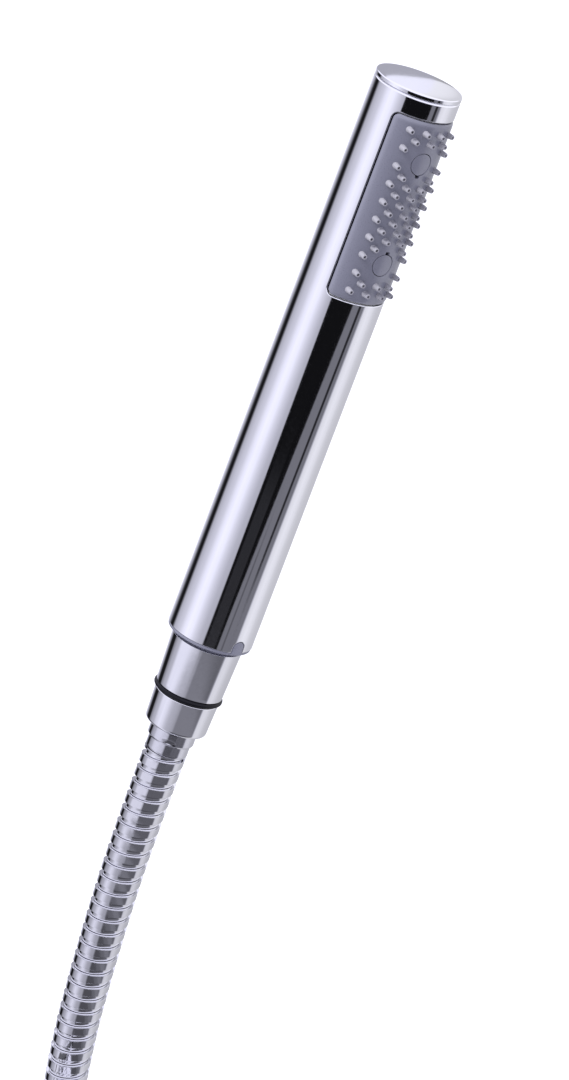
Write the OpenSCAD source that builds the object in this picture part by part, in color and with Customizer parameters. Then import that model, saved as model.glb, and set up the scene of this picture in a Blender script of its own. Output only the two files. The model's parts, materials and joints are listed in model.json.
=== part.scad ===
// Baton hand shower with a metal hose, hanging from its holder.
// Origin: on the handset's axis, at the seat of the friction ring. +Z runs up the
// handset towards its cap, and the spray face looks towards -Y.

/* [Body tube] */
// outer diameter of the chromed tube
tube_d = 27.5; // [25:0.5:32]
// wall thickness of the tube
tube_wall = 1.5; // [1.2:0.1:2.5]
// height of the tube's lower rim above the friction ring
tube_bottom = 20.5; // [15:0.1:30]
// height of the tube's upper rim above the friction ring
tube_top = 207; // [206.7:0.1:240]
// height of the cap's rim above the tube
cap_h = 1.3; // [1:0.1:4]
// how far the cap's middle stands above its rim
cap_crown = 0.3; // [0:0.05:2]

/* [Spray face] */
// height of the window's middle above the friction ring
window_z = 170.5; // [150:0.1:170.7]
// length of the window
window_l = 61; // [59:0.1:61.4]
// width of the window across the chord
window_w = 23.8; // [22:0.1:25]
// corner radius of the window
window_r = 2; // [1:0.1:4]
// gap between the window's edge and the spray plate
plate_gap = 0.5; // [0.2:0.1:1]
// how far the plate's surface stands out of the tube
plate_proud = 0.2; // [0:0.05:0.5]
// height from one nozzle row to the next
row_pitch = 5.92; // [5.6:0.02:6]
// angle from one nozzle column to the next
column_angle = 11; // [10:0.1:11.5]
// share of the column angle that the nozzles fan out by
nozzle_fan = 0.33; // [0:0.01:1]
// how far the nozzles stand out of the plate
nozzle_h = 2.25; // [1:0.05:3]
// nozzle diameter where it leaves the plate
nozzle_base_d = 1.75; // [1.6:0.05:2.6]
// nozzle diameter at its tip
nozzle_tip_d = 1.35; // [1.2:0.05:2]
// diameter of the jet hole
jet_d = 0.6; // [0.4:0.05:1]
// distance of each screw from the window's middle
screw_offset = 16.8; // [16:0.1:17.5]
// diameter of the screw covers
cover_d = 7; // [6:0.1:7.4]

/* [Neck and nut] */
// neck diameter under the base ring
neck_top_d = 23; // [21:0.1:25]
// neck diameter at the friction ring
neck_bottom_d = 21.5; // [20:0.1:23]
// thickness of the grey base ring
ring_h = 1.8; // [1:0.1:3]
// width of the key tongue
key_w = 4.3; // [3:0.1:6]
// how far the key tongue reaches up the tube
key_h = 3.8; // [2:0.1:6]
// how far round from the spray face the key tongue sits
key_angle = 4; // [0:1:30]
// thickness of the friction ring's rubber
friction_d = 1.58; // [1.5:0.02:2.5]
// nut diameter at the friction ring
nut_top_d = 20.8; // [19:0.1:22]
// nut diameter above its rounded lower edge
nut_bottom_d = 19.9; // [18:0.1:22]
// distance from the friction ring to the nut's lower face
nut_h = 12.4; // [11.5:0.05:12.4]

/* [Hose] */
// outer diameter of the hose
hose_d = 14; // [12:0.5:16]
// diameter of the ferrule's collar next to the nut
ferrule_d = 15; // [14:0.1:17]
// diameter of the ferrule's collar next to the hose
ferrule_end_d = 13.6; // [12:0.1:16]
// radius of the coil at the middle of its turns
coil_r = 70; // [70:1:84]
// distance between neighbouring turns
coil_pitch = 14.6; // [14:0.1:16]
// length of the straight end below the coil's axis
tail_l = 46; // [40:1:80]

/* [Check valve] */
// how far the poppet lifts
poppet_lift = 2.2; // [1:0.1:3]
// turns of the return spring
spring_turns = 7; // [5:1:9]
// wire diameter of the return spring
spring_wire = 0.5; // [0.3:0.05:0.6]

/* [Hidden] */
$fn = 96;
tube_r = tube_d / 2;
bore_r = tube_r - tube_wall;
plate_r = tube_r + plate_proud;
plate_inner_r = bore_r + 0.1;
core_r = bore_r - 0.1;
seat_r = bore_r - 0.95;
window_low = window_z - window_l / 2;
ring_low = tube_bottom - ring_h;
neck_shoulder = 1;
nipple_r = 8.5;
socket_r = 8.6;
shank_r = 8.2;
shank_low = -7.4;
water_r = 5;
cartridge_r = 6.6;
cartridge_low = 4;
lip_h = 1;
gap_h = 0.75;
gap_r = 10.3;
nipple_top = tube_bottom + 12.1;
pipe_r = 6.2;
guide_low = 26.1;

// Nozzle rows of each column, counted down from the top row
outer_rows = [for (row = [0 : 9]) row];
second_rows = [0.5, 2.5, 3.5, 4.5, 5.5, 6.5, 8.5];
first_rows = [0, 3, 4, 5, 6, 9];
middle_rows = [0.5, 3.5, 4.5, 5.5, 8.5];
columns = [
    [-3, outer_rows], [-2, second_rows], [-1, first_rows], [0, middle_rows],
    [1, first_rows], [2, second_rows], [3, outer_rows]
];

// Screw wells in the spray plate, as distances from the axis towards -Y
well_floor = 9.3;
screw_seat = 10.5;
cover_back = 12.4;
post_end = 8.4;

// Hose ends, as heights from where the hose leaves its ferrule
collar_end = 4.4;
ferrule_end = 8.65;
flange_low = 11;
flange_high = 12.4;
spigot_r = 6.1;
hose_bore_r = 3.2;
barb_r = 4.4;
exit_z = -21.2;

// Route of the hose below the ferrule: [x, z] on its centre line
lead_route = [
    [0, -21.2], [0, -28], [0.1, -35], [0.2, -42], [0.4, -49], [0.7, -57.5], [1.1, -66],
    [1.7, -75], [2.4, -84], [3.2, -92.5], [4, -101], [5, -109.5], [6, -118], [7.3, -126],
    [8.6, -133.5], [9.8, -139.5], [11.2, -146], [13.1, -152], [15.5, -158], [18.5, -163.9],
    [22, -169.4], [26, -174.6], [30.4, -179.5], [35.3, -184]
];
coil_x = -9.7;
coil_z = -237.6;
coil_start = 50;
coil_turns = 3 + coil_start / 360;
coil_w = coil_turns * coil_pitch;
tail_x = coil_x + coil_r;
tail_y = -coil_w;
tail_z = coil_z - tail_l;
tail_route = [
    [tail_x, coil_z], [tail_x, coil_z - 12], [tail_x, coil_z - 24],
    [tail_x, coil_z - 36], [tail_x, tail_z]
];
tie_angles = [110, 250];
tie_t = 1.2;
tie_w = 10;

// Far nut, as heights from where the hose leaves its ferrule
wall_nut_low = 8.8;
wall_nut_hex = 17;
wall_nut_top = 24;
wall_nut_af = 24;
thread_r = 9.3;
thread_low = 14.55;

// Colours
chrome = [0.84, 0.84, 0.88];
plate_grey = [0.51, 0.51, 0.59];
soft_grey = [0.74, 0.73, 0.77];
ring_grey = [0.47, 0.48, 0.53];
black_rubber = [0.13, 0.13, 0.15];
white_plastic = [0.88, 0.88, 0.86];
brass = [0.76, 0.63, 0.36];
steel = [0.66, 0.67, 0.7];

// ---------- shared shapes ----------

module ring(r, bore, h, z = 0) {
    translate([0, 0, z]) difference() {
        cylinder(r = r, h = h);
        translate([0, 0, -1]) cylinder(r = bore, h = h + 2);
    }
}

module o_ring(middle_r, wire_d, z) {
    translate([0, 0, z]) rotate_extrude() translate([middle_r, 0]) circle(d = wire_d);
}

// A rectangle with rounded corners, pushed out along -Y from the axis
module face_prism(w, l, r, z = window_z, depth = 20) {
    translate([0, 0, z]) rotate([90, 0, 0]) linear_extrude(height = depth) union() {
        square([w, l - 2 * r], center = true);
        square([w - 2 * r, l], center = true);
        for (x = [-1, 1], y = [-1, 1])
            translate([x * (w / 2 - r), y * (l / 2 - r)]) circle(r = r);
    }
}

// A curved shell on the spray side, between two radii and inside a rounded outline
module face_shell(outer, inner, w, l, r) {
    intersection() {
        ring(outer, inner, l + 4, window_z - l / 2 - 2);
        face_prism(w, l, r);
    }
}

// A rod along -Y at the height z, from one distance to another
module face_rod(r, from, to, z) {
    translate([0, -from, z]) rotate([90, 0, 0]) cylinder(r = r, h = to - from);
}

module at_nozzles() {
    for (column = columns, row = column[1]) {
        place = column[0] * column_angle;
        translate([
            plate_r * sin(place),
            -plate_r * cos(place),
            window_z + (4.5 - row) * row_pitch
        ]) rotate([90, 0, place * nozzle_fan]) children();
    }
}

module at_screws() {
    for (side = [-1, 1]) translate([0, 0, window_z + side * screw_offset]) children();
}

// A tube swept along points that lie in a plane across the Y axis
function heading(route, i) =
    let (
        a = route[max(i - 1, 0)],
        b = route[min(i + 1, len(route) - 1)],
        d = b - a
    ) d / norm(d);

module planar_tube(route, y, r, sides) {
    n = len(route);
    rings = [
        for (i = [0 : n - 1], k = [0 : sides - 1])
            let (
                h = i == 0 ? [0, -1] : heading(route, i),
                side = [-h[1], h[0]],
                a = 360 * k / sides
            )
            [
                route[i][0] + r * cos(a) * side[0],
                y + r * sin(a),
                route[i][1] + r * cos(a) * side[1]
            ]
    ];
    walls = [
        for (i = [0 : n - 2], k = [0 : sides - 1])
            let (m = (k + 1) % sides)
            [i * sides + k, i * sides + m, (i + 1) * sides + m, (i + 1) * sides + k]
    ];
    start = [[for (k = [0 : sides - 1]) sides - 1 - k]];
    end = [[for (k = [0 : sides - 1]) (n - 1) * sides + k]];
    polyhedron(points = rings, faces = concat(walls, start, end), convexity = 4);
}

// A coil spring standing on the height z, with its wire ends at both ends
module coil_spring(middle_r, wire_r, z, h, turns, steps, sides) {
    n = turns * steps;
    rings = [
        for (i = [0 : n], k = [0 : sides - 1])
            let (
                turn = 360 * i / steps,
                a = 360 * k / sides,
                r = middle_r + wire_r * cos(a)
            )
            [r * cos(turn), r * sin(turn), z + wire_r + (h - 2 * wire_r) * i / n + wire_r * sin(a)]
    ];
    walls = [
        for (i = [0 : n - 1], k = [0 : sides - 1])
            let (m = (k + 1) % sides)
            [i * sides + k, i * sides + m, (i + 1) * sides + m, (i + 1) * sides + k]
    ];
    start = [[for (k = [0 : sides - 1]) sides - 1 - k]];
    end = [[for (k = [0 : sides - 1]) n * sides + k]];
    polyhedron(points = rings, faces = concat(walls, start, end), convexity = 8);
}

// ---------- hose end fittings, standing on the hose's end ----------

module ferrule() {
    color(chrome) difference() {
        union() {
            cylinder(d = ferrule_end_d, h = collar_end + 0.5);
            translate([0, 0, collar_end]) cylinder(d = ferrule_d, h = ferrule_end - collar_end);
        }
        translate([0, 0, 0.7]) cylinder(r = barb_r + 0.05, h = ferrule_end);
        translate([0, 0, -1]) cylinder(r = hose_bore_r, h = 4);
    }
}

module spigot(flange_r) {
    color(brass) difference() {
        union() {
            translate([0, 0, 0.8]) cylinder(r = barb_r, h = ferrule_end);
            translate([0, 0, ferrule_end]) cylinder(r = spigot_r, h = flange_high - ferrule_end);
            translate([0, 0, flange_low]) cylinder(r = flange_r, h = flange_high - flange_low);
        }
        translate([0, 0, -1]) cylinder(r = hose_bore_r, h = 20);
    }
}

module at_hose_start() {
    translate([0, 0, exit_z]) children();
}

module at_hose_end() {
    translate([tail_x, tail_y, tail_z]) rotate([180, 0, 0]) children();
}

// ---------- handset ----------

module body_tube() {
    color(chrome) difference() {
        ring(tube_r, bore_r, tube_top - tube_bottom, tube_bottom);
        face_prism(window_w, window_l, window_r);
        key_slot(key_w / 2 + 0.15, key_h + 0.15);
    }
}

module key_slot(half_w, h) {
    translate([0, 0, tube_bottom]) rotate([90, 0, key_angle]) linear_extrude(height = 20) union() {
        translate([-half_w, -1]) square([2 * half_w, h - half_w + 1]);
        translate([0, h - half_w]) circle(r = half_w);
    }
}

module end_cap() {
    edge = 0.4;
    flat_r = tube_r - edge;
    low = tube_top + 0.1;
    crown = [for (i = [0 : 8]) [flat_r * i / 8, low + cap_h + cap_crown * (1 - pow(i / 8, 2))]];
    color(chrome) difference() {
        union() {
            rotate_extrude() union() {
                polygon(concat([[0, low]], crown, [[flat_r, low]]));
                translate([0, low]) square([tube_r, cap_h - edge]);
                translate([flat_r, low + cap_h - edge]) circle(r = edge);
            }
            translate([0, 0, tube_top - 4.3]) cylinder(r = core_r, h = 5);
        }
        translate([0, 0, tube_top - 5]) cylinder(r = 9.6, h = 4.6);
        ring(tube_r, 10.65, 1.8, tube_top - 3.1);
    }
}

module cap_seal() {
    color(black_rubber) o_ring(11.45, 1.56, tube_top - 2.2);
}

module waterway_core() {
    layer_w = window_w - 2.1;
    layer_l = window_l - 1;
    color(white_plastic) difference() {
        union() {
            translate([0, 0, tube_bottom + 5.3]) cylinder(r = core_r, h = 14);
            translate([0, 0, tube_bottom + 10]) cylinder(r = 8.2, h = 110);
            difference() {
                translate([0, 0, window_low - 4.3]) cylinder(r = core_r, h = window_l + 5.6);
                difference() {
                    face_prism(layer_w, layer_l, 1);
                    translate([0, 0, window_low - 10]) cylinder(r = seat_r, h = window_l + 20);
                }
                translate([-8.6, -14, window_low + 3.1]) cube([17.2, 18, window_l - 6.2]);
            }
            at_screws() face_rod(4.2, -6, post_end, 0);
        }
        translate([0, 0, tube_bottom]) cylinder(r = socket_r, h = 12.2);
        translate([0, 0, tube_bottom + 5]) cylinder(r = pipe_r, h = window_low + 5 - tube_bottom - 5);
        at_screws() face_rod(1.45, 1, post_end + 1, 0);
    }
}

module spray_plate() {
    color(plate_grey) difference() {
        union() {
            face_shell(plate_r, plate_inner_r, window_w - 2 * plate_gap,
                window_l - 2 * plate_gap, window_r - plate_gap);
            at_screws() face_rod(4.6, well_floor, 12.9, 0);
        }
        at_screws() {
            face_rod(cover_d / 2 + 0.1, screw_seat, 20, 0);
            face_rod(1.8, well_floor - 1, 20, 0);
        }
        at_nozzles() translate([0, 0, -6]) cylinder(r = nozzle_base_d / 2 + 0.12, h = 8);
    }
}

module nozzle_mat() {
    embed = 2.1;
    color(soft_grey) difference() {
        union() {
            difference() {
                face_shell(bore_r, seat_r + 0.05, window_w - 5.3, window_l - 4.2, 1);
                at_screws() face_rod(4.75, 5, 20, 0);
            }
            at_nozzles() {
                translate([0, 0, -embed]) cylinder(d = nozzle_base_d, h = embed + 0.1);
                translate([0, 0, 0.1]) cylinder(
                    d1 = nozzle_base_d, d2 = nozzle_tip_d, h = nozzle_h - 0.1
                );
            }
        }
        at_nozzles() translate([0, 0, -5]) cylinder(d = jet_d, h = nozzle_h + 6);
    }
}

module face_seal() {
    color(black_rubber) difference() {
        face_shell(bore_r, seat_r + 0.05, window_w - 2.4, window_l - 2.4, 1);
        translate([-(window_w - 5) / 2, -20, window_low + 1.95])
            cube([window_w - 5, 20, window_l - 3.9]);
    }
}

module post_seals() {
    color(black_rubber) at_screws() difference() {
        face_rod(3.9, post_end + 0.05, well_floor - 0.05, 0);
        face_rod(1.6, post_end - 1, well_floor + 1, 0);
    }
}

module face_screws() {
    color(steel) at_screws() difference() {
        union() {
            face_rod(1.4, 3, screw_seat + 0.5, 0);
            face_rod(2.8, screw_seat, cover_back - 0.1, 0);
        }
        for (turn = [0, 90]) translate([0, -cover_back, 0]) rotate([0, turn, 0])
            cube([3.6, 2, 0.8], center = true);
    }
}

module screw_covers() {
    color(plate_grey) for (side = [-1, 1]) intersection() {
        difference() {
            face_rod(cover_d / 2, cover_back, 20, window_z + side * screw_offset);
            translate([0, -plate_r, window_z + side * (screw_offset - cover_d / 2)])
                cube([1.8, 1.6, 1.4], center = true);
        }
        translate([0, 0, window_low]) cylinder(r = plate_r - 0.05, h = window_l);
    }
}

module base_ring() {
    edge = 0.3;
    lip_low = tube_bottom - lip_h;
    color(ring_grey) union() {
        rotate_extrude() union() {
            translate([9, ring_low]) square([gap_r + 0.9 - 9, ring_h]);
            translate([9, lip_low]) square([tube_r - 0.1 - edge - 9, lip_h]);
            translate([9, lip_low + edge]) square([tube_r - 0.1 - 9, lip_h - edge]);
            translate([tube_r - 0.1 - edge, lip_low + edge]) circle(r = edge);
        }
        ring(core_r, 10.9, 5.5, tube_bottom - 0.3);
        intersection() {
            ring(tube_r, 11.5, key_h + 1, tube_bottom - 0.4);
            key_slot(key_w / 2, key_h);
        }
    }
}

module inlet_connector() {
    color(chrome) difference() {
        union() {
            translate([0, 0, neck_shoulder])
                cylinder(d1 = neck_bottom_d, d2 = neck_top_d, h = ring_low - gap_h - neck_shoulder);
            translate([0, 0, ring_low - gap_h - 1]) cylinder(r = gap_r, h = gap_h + 1);
            translate([0, 0, ring_low - 1]) cylinder(r = nipple_r, h = nipple_top - ring_low + 1);
            translate([0, 0, -0.95]) cylinder(r = 9.2, h = 3);
            translate([0, 0, shank_low]) cylinder(r = shank_r, h = 10);
        }
        translate([0, 0, shank_low - 1]) cylinder(r = water_r, h = 20);
        translate([0, 0, cartridge_low]) cylinder(r = cartridge_r, h = nipple_top);
        ring(nipple_r + 1, 7.55, 1.2, 28.9);
    }
}

module connector_seal() {
    color(black_rubber) o_ring(8.07, 1, 29.5);
}

module flow_regulator() {
    color(white_plastic) difference() {
        union() {
            translate([0, 0, cartridge_low + 0.05]) cylinder(r = 6.5, h = 2.9);
            translate([0, 0, cartridge_low + 0.05]) cylinder(r = 1.2, h = 3.6);
        }
        for (i = [0 : 7]) rotate([0, 0, 45 * i]) translate([3.6, 0, cartridge_low - 1])
            cylinder(r = 0.9, h = 6);
    }
}

module check_valve_body() {
    low = 7.7;
    color(white_plastic) difference() {
        translate([0, 0, low]) cylinder(r = 6.5, h = 19.8);
        translate([0, 0, low - 1]) cylinder(r = 3.6, h = 6);
        translate([0, 0, low + 2]) cylinder(r = 5.3, h = guide_low - low - 2);
        translate([0, 0, low + 10]) cylinder(r = 1.35, h = 20);
        for (i = [0 : 5]) rotate([0, 0, 60 * i]) translate([3.6, 0, low + 10])
            cylinder(r = 1.3, h = 20);
    }
}

module check_valve_poppet() {
    low = 9.7;
    color(white_plastic) union() {
        translate([0, 0, low - 0.9]) cylinder(r = 2.5, h = 2);
        translate([0, 0, low + 0.7]) cylinder(r = 4.6, h = 1.2);
        translate([0, 0, low + 1]) cylinder(r = 1.3, h = 18.6);
        translate([0, 0, low + 1]) cylinder(r = 1.7, h = guide_low - poppet_lift - 0.1 - low - 1);
    }
}

module poppet_seal() {
    color(black_rubber) ring(4.5, 2.55, 0.6, 9.78);
}

module check_valve_spring() {
    color(steel) coil_spring(2.3, spring_wire / 2, 11.65, 14.4, spring_turns, 16, 8);
}

module inlet_filter() {
    color(white_plastic) difference() {
        translate([0, 0, shank_low + 0.1]) cylinder(r = water_r - 0.1, h = 1.4);
        translate([0, 0, shank_low - 1]) cylinder(r = 4.1, h = 1.6);
        translate([0, 0, shank_low + 1]) cylinder(r = 4.1, h = 2);
        for (x = [-3 : 3], y = [-3 : 3]) if (x * x + y * y < 11)
            translate([x, y, shank_low - 1]) cylinder(r = 0.35, h = 4);
    }
}

module friction_ring() {
    color(black_rubber) o_ring(10.45, friction_d, 0);
}

module near_washer() {
    color(black_rubber) ring(7.9, 5.3, 1.2, shank_low - 1.25);
}

module cone_nut() {
    edge = 1.2;
    color(chrome) difference() {
        union() {
            translate([0, 0, edge - nut_h])
                cylinder(d1 = nut_bottom_d, d2 = nut_top_d, h = nut_h - 1 - edge);
            rotate_extrude() union() {
                translate([0, -nut_h]) square([nut_bottom_d / 2 - edge, edge + 0.5]);
                translate([nut_bottom_d / 2 - edge, edge - nut_h]) circle(r = edge);
            }
        }
        translate([0, 0, exit_z + flange_low - 0.1]) cylinder(r = shank_r + 0.05, h = 20);
        translate([0, 0, -nut_h - 1]) cylinder(r = spigot_r + 0.05, h = 4);
    }
}

// ---------- hose ----------

module near_spigot() {
    at_hose_start() spigot(7.9);
}

module near_ferrule() {
    at_hose_start() ferrule();
}

module hose_lead() {
    color(steel) planar_tube(lead_route, 0, hose_d / 2, 12);
}

module hose_coil() {
    color(steel) translate([coil_x, hose_d / 2, coil_z]) rotate([90, 0, 0]) rotate_extrude()
        translate([coil_r - hose_d / 2, 0]) square([hose_d, coil_w + hose_d]);
}

module hose_tail() {
    color(steel) planar_tube(tail_route, tail_y, hose_d / 2, 12);
}

module hose_ties() {
    inner_t = hose_d + 0.6;
    inner_w = coil_w + hose_d + 0.2;
    color(black_rubber) for (a = tie_angles)
        translate([coil_x, -coil_w / 2, coil_z]) rotate([0, -a, 0]) translate([coil_r, 0, 0])
            difference() {
                cube([inner_t + 2 * tie_t, inner_w + 2 * tie_t, tie_w], center = true);
                cube([inner_t, inner_w, tie_w + 2], center = true);
            }
}

module far_ferrule() {
    at_hose_end() ferrule();
}

module far_spigot() {
    at_hose_end() spigot(8.3);
}

module far_washer() {
    color(black_rubber) at_hose_end() ring(8.6, 5.4, 2, flange_high + 0.05);
}

module wall_nut() {
    color(chrome) at_hose_end() difference() {
        union() {
            translate([0, 0, wall_nut_low]) cylinder(
                r = wall_nut_af / sqrt(3), h = wall_nut_hex - wall_nut_low, $fn = 6
            );
            translate([0, 0, wall_nut_low + 1]) cylinder(r = 11.7, h = wall_nut_top - wall_nut_low - 1);
        }
        translate([0, 0, thread_low]) cylinder(r = thread_r, h = 20);
        translate([0, 0, flange_low - 0.1]) cylinder(r = 9, h = 10);
        cylinder(r = spigot_r + 0.05, h = 20);
    }
}

body_tube();
end_cap();
cap_seal();
waterway_core();
spray_plate();
nozzle_mat();
face_seal();
post_seals();
face_screws();
screw_covers();
base_ring();
inlet_connector();
connector_seal();
flow_regulator();
check_valve_body();
check_valve_poppet();
poppet_seal();
check_valve_spring();
inlet_filter();
friction_ring();
near_washer();
cone_nut();
near_spigot();
near_ferrule();
hose_lead();
hose_coil();
hose_tail();
hose_ties();
far_ferrule();
far_spigot();
far_washer();
wall_nut();
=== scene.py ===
import json
import math

import bmesh
import bpy
import numpy as np
from mathutils import Matrix, Vector


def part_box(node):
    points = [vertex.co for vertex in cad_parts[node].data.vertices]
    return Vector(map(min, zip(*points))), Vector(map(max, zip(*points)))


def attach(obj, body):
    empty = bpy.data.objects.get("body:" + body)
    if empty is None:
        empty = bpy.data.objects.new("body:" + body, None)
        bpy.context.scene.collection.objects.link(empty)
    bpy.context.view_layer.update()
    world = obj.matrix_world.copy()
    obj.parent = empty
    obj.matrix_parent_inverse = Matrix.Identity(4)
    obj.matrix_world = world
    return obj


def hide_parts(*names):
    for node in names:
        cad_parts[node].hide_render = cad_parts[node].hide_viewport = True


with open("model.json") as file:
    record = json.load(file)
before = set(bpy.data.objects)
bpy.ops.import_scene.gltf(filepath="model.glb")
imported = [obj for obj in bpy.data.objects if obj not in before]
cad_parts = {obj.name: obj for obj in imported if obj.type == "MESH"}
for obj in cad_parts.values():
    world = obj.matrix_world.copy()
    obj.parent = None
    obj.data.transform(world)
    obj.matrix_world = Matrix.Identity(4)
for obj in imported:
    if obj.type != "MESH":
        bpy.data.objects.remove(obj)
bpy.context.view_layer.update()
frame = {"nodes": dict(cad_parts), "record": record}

MM = 0.001
WHOLE = 2 * math.pi


def node_box(name):
    """A CAD node's lowest and highest corners, in millimetres."""
    low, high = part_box(name)
    return [x / MM for x in low], [x / MM for x in high]


# Places that the CAD nodes give
TUBE_LOW, TUBE_HIGH = node_box("body_tube")
TUBE_R = TUBE_HIGH[0]
TUBE_BOTTOM, TUBE_TOP = TUBE_LOW[2], TUBE_HIGH[2]
CAP_HIGH = node_box("end_cap")[1]
PLATE_LOW, PLATE_HIGH = node_box("spray_plate")
WINDOW_Z = (PLATE_LOW[2] + PLATE_HIGH[2]) / 2
PLATE_R = -PLATE_LOW[1]
RING_LOW = node_box("base_ring")[0][2]
NUT_LOW = node_box("cone_nut")[0][2]
TUBE_WALL = 1.5
BORE_R = TUBE_R - TUBE_WALL

# Measures that part.scad has too, in millimetres and degrees
WINDOW_HALF_V = (PLATE_HIGH[2] - PLATE_LOW[2]) / 2 + 0.5
WINDOW_HALF_U = TUBE_R * math.radians(60)
WINDOW_CORNER = 2.4
WINDOW_GAP = 0.45
PLATE_HALF_U, PLATE_HALF_V = WINDOW_HALF_U - WINDOW_GAP, WINDOW_HALF_V - WINDOW_GAP
PLATE_CORNER = WINDOW_CORNER - WINDOW_GAP
ROW_PITCH = 5.92
COLUMN_ANGLE = 11
NOZZLE_FAN = 0.33
NOZZLE_H = 2.25
SCREW_OFFSET = 16.8
COVER_R = 3.5
KEY_ANGLE = 4
KEY_HALF_W = 2.15
KEY_H = 3.8
KEY_GAP = 0.15
KEY_ARC_V = TUBE_BOTTOM + KEY_H - KEY_HALF_W
KEY_CENTRE_U = TUBE_R * math.radians(KEY_ANGLE)
CAP_CROWN = 0.3
NECK_GAP = 0.75
GAP_R = 10.3
RING_LIP = 1
NECK_TOP_R, NECK_BOTTOM_R = 11.5, 10.75
NUT_TOP_R, NUT_BOTTOM_R = 10.4, 9.95

# How finely the looks are made: points on a corner's arc, and round a turned piece
CORNER_STEPS = 8
FINE_ROUND = 128

# The hose's route, as in part.scad
HOSE_R = 7.0
LEAD_ROUTE = [
    (0, -21.2), (0, -28), (0.1, -35), (0.2, -42), (0.4, -49), (0.7, -57.5), (1.1, -66),
    (1.7, -75), (2.4, -84), (3.2, -92.5), (4, -101), (5, -109.5), (6, -118), (7.3, -126),
    (8.6, -133.5), (9.8, -139.5), (11.2, -146), (13.1, -152), (15.5, -158), (18.5, -163.9),
    (22, -169.4), (26, -174.6), (30.4, -179.5), (35.3, -184),
]
COIL_X, COIL_Z, COIL_R = -9.7, -237.6, 70
COIL_START = 50
COIL_PITCH = 14.6
COIL_TURNS = 3 + COIL_START / 360
COIL_W = COIL_TURNS * COIL_PITCH
COIL_STEPS = 24
TAIL_X, TAIL_Y = COIL_X + COIL_R, -COIL_W
TAIL_STEPS = (12, 24, 36, 46)
TAIL_Z = COIL_Z - TAIL_STEPS[-1]
EXIT_Z = -21.2
HOSE_PITCH = 4.8


# ---------- camera and light ----------

CAM_AZ, CAM_EL, CAM_ROLL = math.radians(-42.536), math.radians(18.707), math.radians(20.942)
CAM_SIDE, CAM_UP, CAM_DISTANCE = 11.219, 57.466, 1850.738
CAM_LENS, CAM_SENSOR = 200, 36


def direction(azimuth, elevation):
    """The unit vector at this azimuth, counted from -Y towards +X, and this elevation."""
    flat = math.cos(elevation)
    return Vector((math.sin(azimuth) * flat, -math.cos(azimuth) * flat, math.sin(elevation)))


def make_camera():
    back = direction(CAM_AZ, CAM_EL)
    right = Vector((math.cos(CAM_AZ), math.sin(CAM_AZ), 0))
    up = back.cross(right)
    rolled_right = right * math.cos(CAM_ROLL) + up * math.sin(CAM_ROLL)
    rolled_up = up * math.cos(CAM_ROLL) - right * math.sin(CAM_ROLL)
    place = (Vector((0, 0, CAM_UP)) + right * CAM_SIDE + back * CAM_DISTANCE) * MM
    camera = bpy.data.objects.new("camera", bpy.data.cameras.new("camera"))
    camera.data.lens = CAM_LENS
    camera.data.sensor_width = CAM_SENSOR
    camera.data.clip_start, camera.data.clip_end = 0.1, 100
    turn = Matrix((rolled_right, rolled_up, back)).transposed().to_4x4()
    camera.matrix_world = Matrix.Translation(place) @ turn
    bpy.context.scene.collection.objects.link(camera)
    bpy.context.scene.camera = camera


def math_node(tree, operation, *values):
    node = tree.nodes.new("ShaderNodeMath")
    node.operation = operation
    for socket, value in zip(node.inputs, values):
        if isinstance(value, (int, float)):
            socket.default_value = value
        else:
            tree.links.new(value, socket)
    return node.outputs[0]


def smooth_step(tree, value, low, high):
    node = tree.nodes.new("ShaderNodeMapRange")
    node.interpolation_type = "SMOOTHSTEP"
    for name, source in (("Value", value), ("From Min", low), ("From Max", high)):
        if isinstance(source, (int, float)):
            node.inputs[name].default_value = source
        else:
            tree.links.new(source, node.inputs[name])
    return node.outputs["Result"]


# The studio round the object, as (degrees round from the camera, brightness): what the
# handset's straight wall reflects, and below it what the neck, the nut and the hose do.
UPPER_RAMP = [
    (-180, 0.95), (-162, 0.9), (-150, 0.53), (-140, 0.3), (-133, 0.06), (-126, 0.008), (-117, 0.012),
    (-112, 0.2), (-108, 0.45), (-96, 0.57), (-84, 0.66), (-72, 0.87), (-60, 1.0), (-48, 0.94),
    (-36, 0.71),
    (-28, 0.59), (-20, 0.49), (-9, 0.46), (-8, 0.18), (76, 0.18), (82, 0.76), (96, 0.86), (108, 0.8),
    (120, 0.67), (132, 0.61), (156, 0.57), (170, 0.62), (180, 0.75),
]
LOWER_RAMP = [
    (-180, 0.95), (-160, 0.72), (-150, 0.52), (-140, 0.25), (-134, 0.03), (-126, 0.008), (-114, 0.012),
    (-108, 0.25), (-96, 0.44), (-84, 0.5), (-72, 0.72), (-60, 0.86), (-48, 0.75), (-36, 0.55), (-28, 0.46),
    (-12, 0.4), (-4, 0.35), (2, 0.21), (76, 0.215), (82, 0.72), (96, 0.75), (108, 0.67), (120, 0.58),
    (144, 0.53), (168, 0.5), (180, 0.6),
]
# Black flags and lamps' edges: where each starts and ends round the object, at the height
# that the tube's top reflects and at the one that its foot reflects; then its brightness,
# how soft its edges are, and the heights between which it stands, as degrees of elevation.
BANDS = [
    ((-19, 53), (-7, 31), 0.006, 1.5, (-10, -20.4)),
    ((-2, 24), (-1, 24), 0.026, 2, (-18.2, -20.4)),
    ((64, 71), (59, 65), 0.02, 1.5, (-13, -19.2)),
    ((42, 46), (42, 46), 0.1, 1.5, (-18.8, -20.4)),
    ((-80, -14), (-80, -14), 0.82, 8, (-20.6, -24.4)),
    ((-9, 74), (-9, 74), 0.13, 3, (-20.6, -24.4)),
    ((-10, 78), (-10, 78), 0.15, 5, (-26.8, -28.8)),
    ((-10, 80), (-10, 80), 0.09, 6, (-28.8, -60)),
]
BAND_END_SOFT = 0.3
TOP_VIEW, FOOT_VIEW = -14.4, -19.6
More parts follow.
